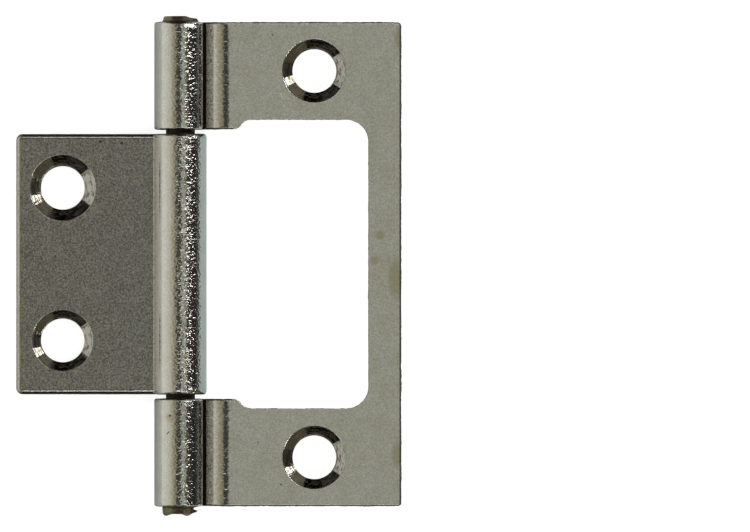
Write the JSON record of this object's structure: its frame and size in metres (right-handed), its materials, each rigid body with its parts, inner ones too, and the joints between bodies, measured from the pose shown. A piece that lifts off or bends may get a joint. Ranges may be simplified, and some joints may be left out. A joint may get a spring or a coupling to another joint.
{
  "type": "flush hinge",
  "caption": "Flush hinge of pressed steel: a windowed outer leaf and the inner leaf that nests in it, turning on a peened pin.",
  "frame": {"origin": "middle of the outer leaf's two screw holes, on its seating face", "axes": "+Z out of the countersunk side, square to the leaves; +Y along the pin, towards its low domed head; +X from the pin towards the outer leaf's free edge; at rest the hinge lies open flat"},
  "size_m": [0.0398, 0.0516, 0.0054],
  "materials": {
    "leaf_steel": "dull nickel plate over mill-finished sheet, fine grain and light storage stains",
    "pin_steel": "bare steel wire, dull olive-brown at the peened ends"
  },
  "bodies": {
    "outer": {"outer_leaf": "leaf_steel", "pin": "pin_steel"},
    "inner": {"inner_leaf": "leaf_steel"}
  },
  "joints": [
    {"name": "leaf_swing", "type": "hinge", "parent": "outer", "child": "inner", "pos_m": [-0.01382, 0, -0.0005], "axis": [0, 1, 0], "continuous": true}
  ]
}
